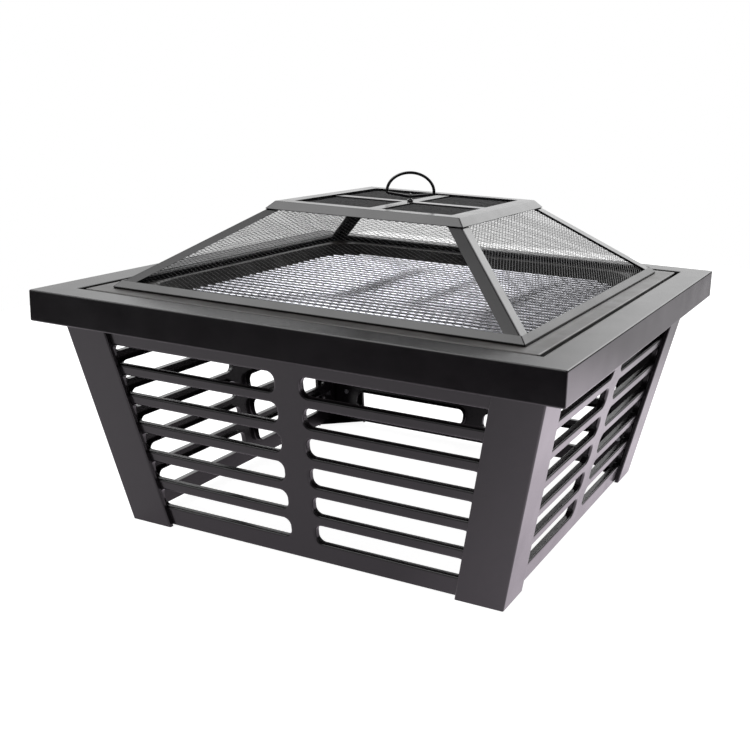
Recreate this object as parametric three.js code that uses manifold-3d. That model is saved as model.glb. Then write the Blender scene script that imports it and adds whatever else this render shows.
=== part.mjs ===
import * as THREE from "three";
import { mergeVertices } from "three/addons/utils/BufferGeometryUtils.js";
import Module from "manifold-3d";

// Square steel fire table: +Z up, ground at z = 0, front towards -Y, centred on the z axis.
// Driving sizes in millimetres. "Half" sizes run from the z axis to a face.
const tableHalf = 432;
const tableHeight = 390;
const apronDepth = 49;
const tableSheet = 2;
const hemWidth = 10;
const ledgeWidth = 50;
const shelfDrop = 9;
const shelfWidth = 26;

// Legs lean outwards: every face keeps this run per unit of height. The inset is at the table's top.
const lean = 0.2;
const legInset = 25;
const legWidth = 76;
const legSheet = 2;
const lipDepth = 7.5;
const tabWidth = 19;
const tabShort = 4;
const studRadius = 2.5;
const studLength = 10;
const studFromCorner = 46;

const panelSheet = 2;
const panelBottom = 3.5;
const panelBelowTop = 20;
const panelSideInset = 12;
const slotRows = 6;
const slotWeb = 17.5;
const slotBottom = 35;
const slotBelowPanelTop = 61.5;
const slotCornerLimit = 12;
const stileWidth = 44;
const slotBehindLeg = 8;
const slotRimDepth = 12;
const slotRimSheet = 1.6;
const bossRadius = 7;
const bossFromCorner = 38;
const screwRadius = 2;
const screwHeadRadius = 4.6;
const screwHeadHeight = 2.6;
const screwFromEnd = 58;

const bowlSheet = 2;
const bowlGap = 7.5;
const bowlBelowTop = 1;
const bowlFlangeWidth = 46.5;
const bowlOpeningCorner = 100;
const bowlWallRun = 123;
const bowlFloorCorner = 60;
const bowlDepth = 125;

const grateBelowTop = 18;
const grateRodRadius = 3;
const grateFrameRadius = 3.6;
const gratePitch = 20.4;
const crossRodOffset = 112;
const weldBite = 0.9;

const screenFootWidth = 18.5;
const screenBaseRise = 11;
const screenBaseRun = 10.8;
const screenHeight = 135.8;
const screenTopHalf = 163;
const skirtRise = 12.8;
const skirtRun = 12.3;
const screenWall = 2.2;
const topFlangeWidth = 23;
const hipWidth = 24;
const hipWall = 2.6;
const hipClearance = 0.8;
const meshWall = 2.4;
const topMeshWall = 1.4;
const crossBarWidth = 20;
const crossBarSheet = 2;

const handleWire = 2.5;
const handleWidth = 84;
const handleHeight = 45;
const handleDip = 4.5;
const handleTurn = 25;
const eyeWall = 2;
const eyeThickness = 4;
const shankRadius = 3;
const handleNutRadius = 5.8;
const upperNutHeight = 2.6;
const lowerNutHeight = 4;

const gap = 0.3;
const boreClearance = 0.35;

const wasm = await Module();
wasm.setup();
const group = new THREE.Group();

function toSolid(geometry) {
  const bare = new THREE.BufferGeometry();
  bare.setAttribute("position", geometry.getAttribute("position"));
  if (geometry.index) {
    bare.setIndex(geometry.index);
  }
  const merged = mergeVertices(bare, 1e-4);
  return new wasm.Manifold(
    new wasm.Mesh({
      numProp: 3,
      vertProperties: new Float32Array(merged.attributes.position.array),
      triVerts: new Uint32Array(merged.index.array),
    }),
  );
}

function addNode(name, solid, material) {
  const mesh = solid.getMesh();
  const geometry = new THREE.BufferGeometry();
  geometry.setAttribute("position", new THREE.BufferAttribute(mesh.vertProperties, 3));
  geometry.setIndex(new THREE.BufferAttribute(mesh.triVerts, 1));
  const node = new THREE.Mesh(geometry, material());
  node.name = name;
  group.add(node);
}

const enamelBlack = () =>
  new THREE.MeshStandardMaterial({ color: 0x2b2829, roughness: 0.38, metalness: 0.1 });
const bowlBlack = () =>
  new THREE.MeshStandardMaterial({ color: 0x1d1c1c, roughness: 0.55, metalness: 0.1 });
const chromeWire = () =>
  new THREE.MeshStandardMaterial({ color: 0xc9c9cd, roughness: 0.2, metalness: 1 });
const meshBlack = () =>
  new THREE.MeshStandardMaterial({ color: 0x171717, roughness: 0.5, metalness: 0.3 });
const zincSteel = () =>
  new THREE.MeshStandardMaterial({ color: 0x9c9da0, roughness: 0.35, metalness: 1 });

function unite(solids) {
  return solids.reduce((sum, one) => sum.add(one));
}

function quarterTurns(solid, turns) {
  return solid.rotate([0, 0, 90 * turns]);
}

// Closed solid between two outlines with the same number of corners, each convex and counterclockwise.
function loft(lower, lowerZ, upper, upperZ) {
  const count = lower.length;
  const points = [];
  const faces = [];
  lower.forEach(([x, y]) => points.push(x, y, lowerZ));
  upper.forEach(([x, y]) => points.push(x, y, upperZ));
  for (let i = 0; i < count; i++) {
    const next = (i + 1) % count;
    faces.push(i, next, count + next);
    faces.push(i, count + next, count + i);
  }
  for (let i = 1; i < count - 1; i++) {
    faces.push(0, i + 1, i);
    faces.push(count, count + i, count + i + 1);
  }
  const geometry = new THREE.BufferGeometry();
  geometry.setAttribute("position", new THREE.Float32BufferAttribute(points, 3));
  geometry.setIndex(faces);
  return toSolid(geometry);
}

function rectangle(x0, y0, x1, y1) {
  return [
    [x0, y0],
    [x1, y0],
    [x1, y1],
    [x0, y1],
  ];
}

function square(half) {
  return rectangle(-half, -half, half, half);
}

function roundedRectangle(x0, y0, x1, y1, radius, steps) {
  const corners = [
    [x1 - radius, y0 + radius, -90],
    [x1 - radius, y1 - radius, 0],
    [x0 + radius, y1 - radius, 90],
    [x0 + radius, y0 + radius, 180],
  ];
  const outline = [];
  for (const [cx, cy, start] of corners) {
    for (let i = 0; i <= steps; i++) {
      const angle = THREE.MathUtils.degToRad(start + (90 * i) / steps);
      outline.push([cx + radius * Math.cos(angle), cy + radius * Math.sin(angle)]);
    }
  }
  return outline;
}

function roundedSquare(half, radius, steps) {
  return roundedRectangle(-half, -half, half, half, radius, steps);
}

function slab(outline, z0, z1) {
  return loft(outline, z0, outline, z1);
}

function squareSlab(half, z0, z1) {
  return slab(square(half), z0, z1);
}

function frustum(lowerHalf, z0, upperHalf, z1) {
  return loft(square(lowerHalf), z0, square(upperHalf), z1);
}

// Prism or round bar between two points.
function bar(from, to, radius, sides) {
  const axis = new THREE.Vector3().subVectors(to, from);
  const geometry = new THREE.CylinderGeometry(radius, radius, axis.length(), sides);
  const turn = new THREE.Quaternion().setFromUnitVectors(
    new THREE.Vector3(0, 1, 0),
    axis.clone().normalize(),
  );
  const middle = new THREE.Vector3().addVectors(from, to).multiplyScalar(0.5);
  geometry.applyMatrix4(new THREE.Matrix4().compose(middle, turn, new THREE.Vector3(1, 1, 1)));
  return toSolid(geometry);
}

function upright(x, y, z0, z1, radius, sides) {
  return bar(new THREE.Vector3(x, y, z0), new THREE.Vector3(x, y, z1), radius, sides);
}

// Extruded outline, upright, sheared so that it leans by the given run per unit of height.
function leaningPrism(outline, z0, z1, runX, runY) {
  const shape = new THREE.Shape(outline.map(([x, y]) => new THREE.Vector2(x, y)));
  const geometry = new THREE.ExtrudeGeometry(shape, { depth: z1 - z0, bevelEnabled: false });
  geometry.translate(0, 0, z0);
  const shear = new THREE.Matrix4().set(1, 0, runX, 0, 0, 1, runY, 0, 0, 0, 1, 0, 0, 0, 0, 1);
  geometry.applyMatrix4(shear);
  return toSolid(geometry);
}

// Wire bent round a closed loop of points that lie in one plane with the given normal.
function wireLoop(points, normal, radius, sides) {
  const vertices = [];
  const faces = [];
  const count = points.length;
  for (let i = 0; i < count; i++) {
    const before = points[(i + count - 1) % count];
    const here = points[i];
    const after = points[(i + 1) % count];
    const inward = new THREE.Vector3().subVectors(here, before).normalize();
    const outward = new THREE.Vector3().subVectors(after, here).normalize();
    const along = new THREE.Vector3().addVectors(inward, outward).normalize();
    const side = new THREE.Vector3().crossVectors(along, normal);
    const stretch = 1 / along.dot(outward);
    for (let j = 0; j < sides; j++) {
      const angle = (2 * Math.PI * (j + 0.5)) / sides;
      const point = here.clone();
      point.addScaledVector(side, radius * stretch * Math.cos(angle));
      point.addScaledVector(normal, radius * Math.sin(angle));
      vertices.push(point.x, point.y, point.z);
    }
  }
  for (let i = 0; i < count; i++) {
    const ring = i * sides;
    const nextRing = ((i + 1) % count) * sides;
    for (let j = 0; j < sides; j++) {
      const k = (j + 1) % sides;
      faces.push(ring + j, nextRing + j, nextRing + k);
      faces.push(ring + j, nextRing + k, ring + k);
    }
  }
  const geometry = new THREE.BufferGeometry();
  geometry.setAttribute("position", new THREE.Float32BufferAttribute(vertices, 3));
  geometry.setIndex(faces);
  return toSolid(geometry);
}

const openingHalf = tableHalf - ledgeWidth;
const footHalf = tableHalf - legInset - lean * tableHeight;
const panelTop = tableHeight - panelBelowTop;
const screwHeights = [screwFromEnd, panelTop - screwFromEnd];
const bowlFlangeHalf = openingHalf - bowlGap;
const bowlOpeningHalf = bowlFlangeHalf - bowlFlangeWidth;
const bowlFloorHalf = bowlOpeningHalf - bowlWallRun;
const screenBaseHalf = bowlOpeningHalf + screenFootWidth;

// Distance of the leg's outer face from the z axis at a height.
function legFace(z) {
  return footHalf + lean * z;
}

const legTop = tableHeight - tableSheet - gap;
const turnNames = ["front", "right", "back", "left"];
const cornerNames = ["front_right", "back_right", "back_left", "front_left"];

// Table top: one pressed sheet with apron, hem and a recess that carries the bowl.
const ledgeUnder = tableHeight - tableSheet;
const apronBottom = tableHeight - apronDepth;
const shelfTop = tableHeight - shelfDrop;
const shelfUnder = shelfTop - tableSheet;
const shelfInner = openingHalf - shelfWidth;
const studs = [];
for (let corner = 0; corner < 4; corner++) {
  const face = legFace(legTop) - tabWidth / 2 - 1.5;
  const along = legFace(legTop) - studFromCorner;
  const places = [
    [along, -face],
    [face, -along],
  ];
  for (const [x, y] of places) {
    const stud = upright(x, y, ledgeUnder - studLength, ledgeUnder + 1, studRadius, 8);
    studs.push(quarterTurns(stud, corner));
  }
}
const apronShell = squareSlab(tableHalf, apronBottom, tableHeight)
  .subtract(squareSlab(tableHalf - tableSheet, apronBottom - 1, ledgeUnder))
  .subtract(squareSlab(openingHalf, ledgeUnder - 1, tableHeight + 1));
const hem = squareSlab(tableHalf - 1, apronBottom, apronBottom + tableSheet).subtract(
  squareSlab(tableHalf - hemWidth, apronBottom - 1, apronBottom + tableSheet + 1),
);
const recess = squareSlab(openingHalf + tableSheet, shelfUnder, tableHeight - 0.8)
  .subtract(squareSlab(openingHalf, shelfTop, tableHeight + 1))
  .subtract(squareSlab(shelfInner, shelfUnder - 1, tableHeight + 1));
addNode("table_top", unite([apronShell, hem, recess, ...studs]), enamelBlack);

// Legs: folded angle with short inward lips, a bolting tab on top and a foot plate.
const faceNormal = new THREE.Vector3(0, 1, lean).normalize();
const insetPerLength = Math.sqrt(1 + lean * lean);
const bossEnd = lipDepth - gap;

// Point on the front side, a given distance in from the legs' outer face.
function frontPoint(x, z, inset) {
  return new THREE.Vector3(x, -(legFace(z) - inset), z);
}

// Point reached from the outer face at x, z when going square to the face.
function squareTo(x, z, inset) {
  return frontPoint(x, z, 0).addScaledVector(faceNormal, inset / insetPerLength);
}

function frontBar(x, z, fromInset, toInset, radius, sides) {
  return bar(squareTo(x, z, fromInset), squareTo(x, z, toInset), radius, sides);
}

function screwPlaces(z) {
  const x = legFace(z) - bossFromCorner;
  return [-x, x];
}

const bosses = [];
const bores = [];
for (const z of screwHeights) {
  for (const x of screwPlaces(z)) {
    bosses.push(frontBar(x, z, legSheet / 2, bossEnd, bossRadius, 12));
    bores.push(frontBar(x, z, legSheet, bossEnd + 2, screwRadius + boreClearance, 8));
  }
}
const frontBosses = unite(bosses);
const frontBores = unite(bores);
const rightHalf = slab(rectangle(0, -tableHalf, tableHalf, tableHalf), -1, tableHeight);
const legProfile = [
  [footHalf, -footHalf],
  [footHalf, -footHalf + legWidth],
  [footHalf - bossEnd, -footHalf + legWidth],
  [footHalf - bossEnd, -footHalf + legWidth - legSheet],
  [footHalf - legSheet, -footHalf + legWidth - legSheet],
  [footHalf - legSheet, -footHalf + legSheet],
  [footHalf - legWidth + legSheet, -footHalf + legSheet],
  [footHalf - legWidth + legSheet, -footHalf + bossEnd],
  [footHalf - legWidth, -footHalf + bossEnd],
  [footHalf - legWidth, -footHalf],
];
const footPlate = [
  [footHalf, -footHalf],
  [footHalf, -footHalf + legWidth],
  [footHalf - legWidth, -footHalf],
];
const tabProfile = [
  [footHalf, -footHalf],
  [footHalf, -footHalf + legWidth - tabShort],
  [footHalf - tabWidth, -footHalf + legWidth - tabShort],
  [footHalf - tabWidth, -footHalf + tabWidth],
  [footHalf - legWidth + tabShort, -footHalf + tabWidth],
  [footHalf - legWidth + tabShort, -footHalf],
];
const angle = leaningPrism(legProfile, 0, legTop, lean, -lean);
const foot = leaningPrism(footPlate, 0, legSheet, lean, -lean);
const tab = leaningPrism(tabProfile, legTop - legSheet, legTop, lean, -lean);
const legBosses = frontBosses.intersect(rightHalf);
const sideBosses = quarterTurns(frontBosses, 1).intersect(
  slab(rectangle(-tableHalf, -tableHalf, tableHalf, 0), -1, tableHeight),
);
const studX = legFace(legTop) - studFromCorner;
const studY = legFace(legTop) - tabWidth / 2 - 1.5;
const studBore = studRadius + boreClearance;
let leg = unite([angle, foot, tab, legBosses, sideBosses]);
leg = leg.subtract(frontBores).subtract(quarterTurns(frontBores, 1));
leg = leg.subtract(upright(studX, -studY, legTop - 6, legTop + 1, studBore, 8));
leg = leg.subtract(upright(studY, -studX, legTop - 6, legTop + 1, studBore, 8));
cornerNames.forEach((name, corner) => {
  addNode("leg_" + name, quarterTurns(leg, corner), enamelBlack);
});

// Nuts that hold the leg tabs on the studs.
const nutTop = legTop - legSheet - gap;
function nutAt(x, y, z0, z1, radius, bore) {
  return upright(x, y, z0, z1, radius, 6).subtract(upright(x, y, z0 - 1, z1 + 1, bore, 8));
}
cornerNames.forEach((name, corner) => {
  const first = nutAt(studX, -studY, nutTop - 4.6, nutTop, 5.2, studBore);
  const second = nutAt(studY, -studX, nutTop - 4.6, nutTop, 5.2, studBore);
  addNode("nut_" + name + "_a", quarterTurns(first, corner), zincSteel);
  addNode("nut_" + name + "_b", quarterTurns(second, corner), zincSteel);
});

// Slotted side panels, each slot with its edge turned inwards.
const innerInset = lipDepth + panelSheet;

// Places an outline drawn in x and height on the front side, from one inset out to another.
function frontSheet(outline, fromInset, toInset) {
  const shape = new THREE.Shape(outline.map(([x, z]) => new THREE.Vector2(x, z)));
  const geometry = new THREE.ExtrudeGeometry(shape, {
    depth: fromInset - toInset,
    bevelEnabled: false,
  });
  const place = new THREE.Matrix4();
  place.set(1, 0, 0, 0, 0, -lean, -1, fromInset - footHalf, 0, 1, 0, 0, 0, 0, 0, 1);
  geometry.applyMatrix4(place);
  return toSolid(geometry);
}

const slotSpan = panelTop - slotBelowPanelTop - slotBottom;
const slotHeight = (slotSpan - (slotRows - 1) * slotWeb) / slotRows;
const slotCorner = Math.min(slotCornerLimit, slotHeight / 2 - 0.5);
const slots = [];
for (let row = 0; row < slotRows; row++) {
  const z0 = slotBottom + row * (slotHeight + slotWeb);
  const z1 = z0 + slotHeight;
  const outer = legFace((z0 + z1) / 2) - legWidth + slotBehindLeg;
  slots.push([-outer, z0, -stileWidth / 2, z1]);
  slots.push([stileWidth / 2, z0, outer, z1]);
}

function slotOutline([x0, z0, x1, z1], grow) {
  return roundedRectangle(x0 - grow, z0 - grow, x1 + grow, z1 + grow, slotCorner + grow, 3);
}

const panelOutline = [
  [-(legFace(panelBottom) - panelSideInset), panelBottom],
  [legFace(panelBottom) - panelSideInset, panelBottom],
  [legFace(panelTop) - panelSideInset, panelTop],
  [-(legFace(panelTop) - panelSideInset), panelTop],
];
const plate = frontSheet(panelOutline, innerInset, lipDepth);
const rimBlocks = slots.map((slot) =>
  frontSheet(slotOutline(slot, slotRimSheet), lipDepth + slotRimDepth, lipDepth + 0.5),
);
const slotCuts = slots.map((slot) =>
  frontSheet(slotOutline(slot, 0), lipDepth + slotRimDepth + 1, lipDepth - 1),
);
const panelBores = [];
for (const z of screwHeights) {
  for (const x of screwPlaces(z)) {
    panelBores.push(frontBar(x, z, lipDepth - 2, innerInset + 2, screwRadius + boreClearance, 8));
  }
}
const panel = unite([plate, ...rimBlocks]).subtract(unite([...slotCuts, ...panelBores]));
turnNames.forEach((name, turn) => {
  addNode("panel_" + name, quarterTurns(panel, turn), enamelBlack);
});

// Screws from inside, through the panel into the leg bosses.
turnNames.forEach((name, turn) => {
  const labels = ["low_left", "low_right", "high_left", "high_right"];
  let index = 0;
  for (const z of screwHeights) {
    for (const x of screwPlaces(z)) {
      const headStart = innerInset + gap;
      const head = frontBar(x, z, headStart, headStart + screwHeadHeight, screwHeadRadius, 10);
      const shank = frontBar(x, z, legSheet + gap, headStart + 1, screwRadius, 8);
      const screw = head.add(shank);
      addNode("screw_" + name + "_" + labels[index], quarterTurns(screw, turn), zincSteel);
      index += 1;
    }
  }
});

// Fire bowl: flat flange with a turned-down rim, sloping sides and a flat floor.
const bowlTop = tableHeight - bowlBelowTop;
const bowlFloor = bowlTop - bowlDepth;
const slopeSheet = bowlSheet * Math.SQRT2;
const bowlSlope = (bowlOpeningHalf - bowlFloorHalf) / (bowlDepth - bowlSheet);
const bowlInside = loft(
  roundedSquare(bowlFloorHalf, bowlFloorCorner, 6),
  bowlFloor + bowlSheet,
  roundedSquare(bowlOpeningHalf, bowlOpeningCorner, 6),
  bowlTop,
);
const bowlAbove = slab(roundedSquare(bowlOpeningHalf, bowlOpeningCorner, 6), bowlTop, bowlTop + 5);
const outerFloorHalf = bowlFloorHalf + slopeSheet - bowlSlope * bowlSheet;
const bowlOutside = loft(
  roundedSquare(outerFloorHalf, bowlFloorCorner + 1, 6),
  bowlFloor,
  roundedSquare(bowlOpeningHalf + slopeSheet, bowlOpeningCorner + slopeSheet, 6),
  bowlTop,
);
const bowlFlange = squareSlab(bowlFlangeHalf, bowlTop - bowlSheet, bowlTop);
const bowlRim = squareSlab(bowlFlangeHalf, shelfTop + gap, bowlTop - 0.5).subtract(
  squareSlab(bowlFlangeHalf - bowlSheet, shelfTop - 1, bowlTop + 1),
);
const bowl = unite([bowlOutside, bowlFlange, bowlRim]).subtract(bowlInside.add(bowlAbove));
addNode("fire_bowl", bowl, bowlBlack);

// Cooking grate: parallel rods welded on a bent frame with two cross rods, resting on the slope.
const rodAxis = tableHeight - grateBelowTop - grateRodRadius;
const frameAxis = rodAxis - grateRodRadius - grateFrameRadius + weldBite;
const slopeHalf = bowlFloorHalf + bowlSlope * (frameAxis - bowlFloor - bowlSheet);
const frameInset = (grateFrameRadius + gap) * Math.SQRT2 + 0.2;
const frameHalf = slopeHalf - frameInset;
const cornerSpread = (bowlOpeningCorner - bowlFloorCorner) / (bowlDepth - bowlSheet);
const slopeCorner = bowlFloorCorner + cornerSpread * (frameAxis - bowlFloor - bowlSheet);
const grateCorner = slopeCorner - frameInset;
const frameLoop = roundedSquare(frameHalf, grateCorner, 6).map(
  ([x, y]) => new THREE.Vector3(x, y, frameAxis),
);
const grateParts = [wireLoop(frameLoop, new THREE.Vector3(0, 0, 1), grateFrameRadius, 8)];

// Half length available inside the rounded frame at a distance from its middle line.
function frameReach(offset) {
  const straight = frameHalf - grateCorner;
  const past = Math.max(0, Math.abs(offset) - straight);
  return straight + Math.sqrt(grateCorner * grateCorner - past * past);
}

const rodsPerHalf = Math.floor((frameHalf - 2 * grateRodRadius) / gratePitch);
for (let i = -rodsPerHalf; i <= rodsPerHalf; i++) {
  const y = i * gratePitch;
  const reach = frameReach(y);
  const from = new THREE.Vector3(-reach, y, rodAxis);
  grateParts.push(bar(from, new THREE.Vector3(reach, y, rodAxis), grateRodRadius, 6));
}
for (const x of [-crossRodOffset, crossRodOffset]) {
  const from = new THREE.Vector3(x, -frameHalf, frameAxis);
  grateParts.push(bar(from, new THREE.Vector3(x, frameHalf, frameAxis), grateFrameRadius, 8));
}
addNode("cooking_grate", unite(grateParts), chromeWire);

// Spark screen: slanted base band with an inner foot flange that stands on the bowl flange.
const screenFoot = bowlTop + gap;
const bandTop = screenFoot + screenBaseRise;
const bandTopHalf = screenBaseHalf - screenBaseRun;
const footThickness = 1.6;
const baseFrame = frustum(screenBaseHalf, screenFoot, bandTopHalf, bandTop)
  .subtract(
    frustum(
      screenBaseHalf - screenWall - screenBaseRun * (footThickness / screenBaseRise),
      screenFoot + footThickness,
      bandTopHalf - screenWall,
      bandTop,
    ),
  )
  .subtract(squareSlab(bandTopHalf - screenWall, bandTop - 0.01, bandTop + 1))
  .subtract(squareSlab(bowlOpeningHalf, screenFoot - 1, bandTop + 1));
addNode("screen_base_frame", baseFrame, enamelBlack);

const screenTop = bowlTop + screenHeight;
const skirtBottom = screenTop - skirtRise;
const skirtHalf = screenTopHalf + skirtRun;
const flangeUnder = screenTop - 1.6;
const topFrame = frustum(skirtHalf, skirtBottom, screenTopHalf, screenTop)
  .subtract(
    frustum(
      skirtHalf - screenWall,
      skirtBottom,
      screenTopHalf - screenWall + (skirtRun * 1.6) / skirtRise,
      flangeUnder,
    ),
  )
  .subtract(squareSlab(skirtHalf - screenWall, skirtBottom - 1, skirtBottom + 0.01))
  .subtract(squareSlab(screenTopHalf - topFlangeWidth, skirtBottom - 1, screenTop + 1));
addNode("screen_top_frame", topFrame, enamelBlack);

// Hip posts: folded angles that run up the four edges, inside band and skirt.
const hipLowZ = bandTop - 2;
const hipHighZ = flangeUnder - 2.6;
const hipLowHalf = bandTopHalf + (screenBaseRun * 2) / screenBaseRise - screenWall - hipClearance;

// Run per unit of height that brings the post to the skirt's inside at a height.
function runToSkirt(z) {
  const skirtInner = skirtHalf - screenWall - (skirtRun / skirtRise) * (z - skirtBottom);
  return (skirtInner - hipClearance - hipLowHalf) / (z - hipLowZ);
}

const hipRun = Math.min(runToSkirt(skirtBottom), runToSkirt(hipHighZ));

function hipFace(z) {
  return hipLowHalf + hipRun * (z - hipLowZ);
}

const hipStart = hipFace(0);
const hipProfile = [
  [hipStart, -hipStart],
  [hipStart, -hipStart + hipWidth],
  [hipStart - hipWall, -hipStart + hipWidth],
  [hipStart - hipWall, -hipStart + hipWall],
  [hipStart - hipWidth, -hipStart + hipWall],
  [hipStart - hipWidth, -hipStart],
];
const hip = leaningPrism(hipProfile, hipLowZ, hipHighZ, hipRun, -hipRun);
cornerNames.forEach((name, corner) => {
  addNode("hip_post_" + name, quarterTurns(hip, corner), enamelBlack);
});

// Expanded-metal sides, drawn as thin plates behind the posts.
const barTop = flangeUnder - gap;
const barUnder = barTop - crossBarSheet;
const topMeshTop = barUnder - gap;
const topMeshUnder = topMeshTop - topMeshWall;
const meshLowZ = screenFoot + footThickness + gap;
const meshHighZ = topMeshUnder - gap;
const meshBehindHip = hipWall + 0.6;
function meshOutline(z) {
  const outer = hipFace(z) - meshBehindHip;
  const inner = outer - meshWall;
  const reach = inner - 0.6;
  return rectangle(-reach, -outer, reach, -inner);
}
const sideMesh = loft(meshOutline(meshLowZ), meshLowZ, meshOutline(meshHighZ), meshHighZ);
turnNames.forEach((name, turn) => {
  addNode("screen_mesh_" + name, quarterTurns(sideMesh, turn), meshBlack);
});

// Flat mesh under the top frame, with the cross bars over it and the handle bolt through both.
const barReach = screenTopHalf - 8;
const topMeshHalf = hipFace(topMeshTop) - hipWall - 0.6;
const shankBore = shankRadius + boreClearance;
const shankHole = upright(0, 0, topMeshUnder - 5, screenTop + 5, shankBore, 10);
const topMesh = squareSlab(topMeshHalf, topMeshUnder, topMeshTop).subtract(shankHole);
addNode("screen_mesh_top", topMesh, meshBlack);
const barHalf = crossBarWidth / 2;
const alongX = slab(rectangle(-barReach, -barHalf, barReach, barHalf), barUnder, barTop);
const alongY = slab(rectangle(-barHalf, -barReach, barHalf, barReach), barUnder, barTop);
addNode("screen_cross_bars", alongX.add(alongY).subtract(shankHole), enamelBlack);

// Eye bolt with a nut above and below, and the bow handle that swings in the eye.
// The eye is turned about the z axis, so the handle stands across the cross bars.
const eyeBore = handleWire + 0.6;
const eyeRadius = eyeBore + eyeWall;
const upperNutBottom = barTop + gap;
const upperNutTop = upperNutBottom + upperNutHeight;
const handleAxis = upperNutTop + gap + eyeRadius;
const lowerNutTop = topMeshUnder - gap;
const lowerNutBottom = lowerNutTop - lowerNutHeight;
const eyeFrom = new THREE.Vector3(-eyeThickness / 2, 0, handleAxis);
const eyeTo = new THREE.Vector3(eyeThickness / 2, 0, handleAxis);
const eyeHoleFrom = new THREE.Vector3(-eyeThickness, 0, handleAxis);
const eyeHoleTo = new THREE.Vector3(eyeThickness, 0, handleAxis);
const eyeBolt = bar(eyeFrom, eyeTo, eyeRadius, 16)
  .add(upright(0, 0, lowerNutBottom - 1.5, handleAxis - eyeBore - 1.2, shankRadius, 10))
  .subtract(bar(eyeHoleFrom, eyeHoleTo, eyeBore, 12));
addNode("handle_eye_bolt", eyeBolt.rotate([0, 0, handleTurn]), enamelBlack);
const upperNut = nutAt(0, 0, upperNutBottom, upperNutTop, handleNutRadius, shankBore);
addNode("handle_nut_upper", upperNut, enamelBlack);
const lowerNut = nutAt(0, 0, lowerNutBottom, lowerNutTop, handleNutRadius, shankBore);
addNode("handle_nut_lower", lowerNut, zincSteel);

// The lower wire dips to the eye; the sides bend up into a half ellipse.
const archHalf = handleWidth / 2 - handleWire;
const bend = 4;
const archSide = handleDip + bend;
const archHeight = handleHeight - 2 * handleWire;
const handlePoints = [];
const corner = (x, z, start) => {
  for (let i = 0; i <= 3; i++) {
    const turn = THREE.MathUtils.degToRad(start + 27 * i);
    const point = [x + bend * Math.cos(turn), 0, handleAxis + z + bend * Math.sin(turn)];
    handlePoints.push(new THREE.Vector3(...point));
  }
};
handlePoints.push(new THREE.Vector3(0, 0, handleAxis));
corner(archHalf - bend, archSide, -81);
for (let i = 1; i < 14; i++) {
  const turn = (Math.PI * i) / 14;
  const x = archHalf * Math.cos(turn);
  const z = archSide + (archHeight - archSide) * Math.sin(turn);
  handlePoints.push(new THREE.Vector3(x, 0, handleAxis + z));
}
corner(-archHalf + bend, archSide, 180);
const handle = wireLoop(handlePoints, new THREE.Vector3(0, -1, 0), handleWire, 8);
addNode("ring_handle", handle.rotate([0, 0, handleTurn]), enamelBlack);

export default group;
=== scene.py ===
import math

import bmesh
import bpy
from mathutils import Matrix, Vector


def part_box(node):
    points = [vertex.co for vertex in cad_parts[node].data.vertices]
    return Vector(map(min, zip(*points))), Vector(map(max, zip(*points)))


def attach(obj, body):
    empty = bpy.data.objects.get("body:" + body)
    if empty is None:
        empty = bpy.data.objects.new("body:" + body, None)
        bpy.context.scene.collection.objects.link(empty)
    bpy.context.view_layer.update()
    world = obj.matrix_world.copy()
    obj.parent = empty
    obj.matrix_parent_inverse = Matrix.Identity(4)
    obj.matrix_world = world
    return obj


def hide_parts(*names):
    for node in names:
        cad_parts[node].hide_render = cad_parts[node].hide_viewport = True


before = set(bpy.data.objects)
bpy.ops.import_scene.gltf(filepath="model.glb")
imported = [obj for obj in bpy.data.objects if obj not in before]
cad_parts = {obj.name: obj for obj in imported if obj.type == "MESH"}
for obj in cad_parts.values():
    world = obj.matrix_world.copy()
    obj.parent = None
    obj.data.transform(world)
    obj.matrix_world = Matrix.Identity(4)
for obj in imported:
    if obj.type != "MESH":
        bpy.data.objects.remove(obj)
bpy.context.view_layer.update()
mm = 0.001
sideNames = ["front", "right", "back", "left"]
cornerNames = ["front_right", "back_right", "back_left", "front_left"]


def sheetObject(name, vertices, faces, body, replaced, material, sharp=35):
    mesh = bpy.data.meshes.new(name)
    mesh.from_pydata([tuple(v) for v in vertices], [], faces)
    mesh.validate()
    bm = bmesh.new()
    bm.from_mesh(mesh)
    bmesh.ops.recalc_face_normals(bm, faces=bm.faces[:])
    bm.to_mesh(mesh)
    bm.free()
    mesh.shade_smooth()
    mesh.set_sharp_from_angle(angle=math.radians(sharp))
    piece = bpy.data.objects.new(name, mesh)
    bpy.context.scene.collection.objects.link(piece)
    piece.data.materials.append(material)
    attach(piece, body)
    if replaced:
        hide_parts(*replaced)
    return piece


class MeshParts:
    def __init__(self):
        self.vertices = []
        self.faces = []

    def add(self, vertices, faces, place=None):
        start = len(self.vertices)
        for v in vertices:
            self.vertices.append(place @ Vector(v) if place else Vector(v))
        for face in faces:
            self.faces.append([i + start for i in face])


def stitchLoops(loops, closedAcross=True):
    # quads between neighbouring closed loops of equal length
    count = len(loops[0])
    vertices = [p for loop in loops for p in loop]
    faces = []
    last = len(loops) if closedAcross else len(loops) - 1
    for i in range(last):
        a = i * count
        b = ((i + 1) % len(loops)) * count
        for j in range(count):
            k = (j + 1) % count
            faces.append([a + j, a + k, b + k, b + j])
    return vertices, faces


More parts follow.
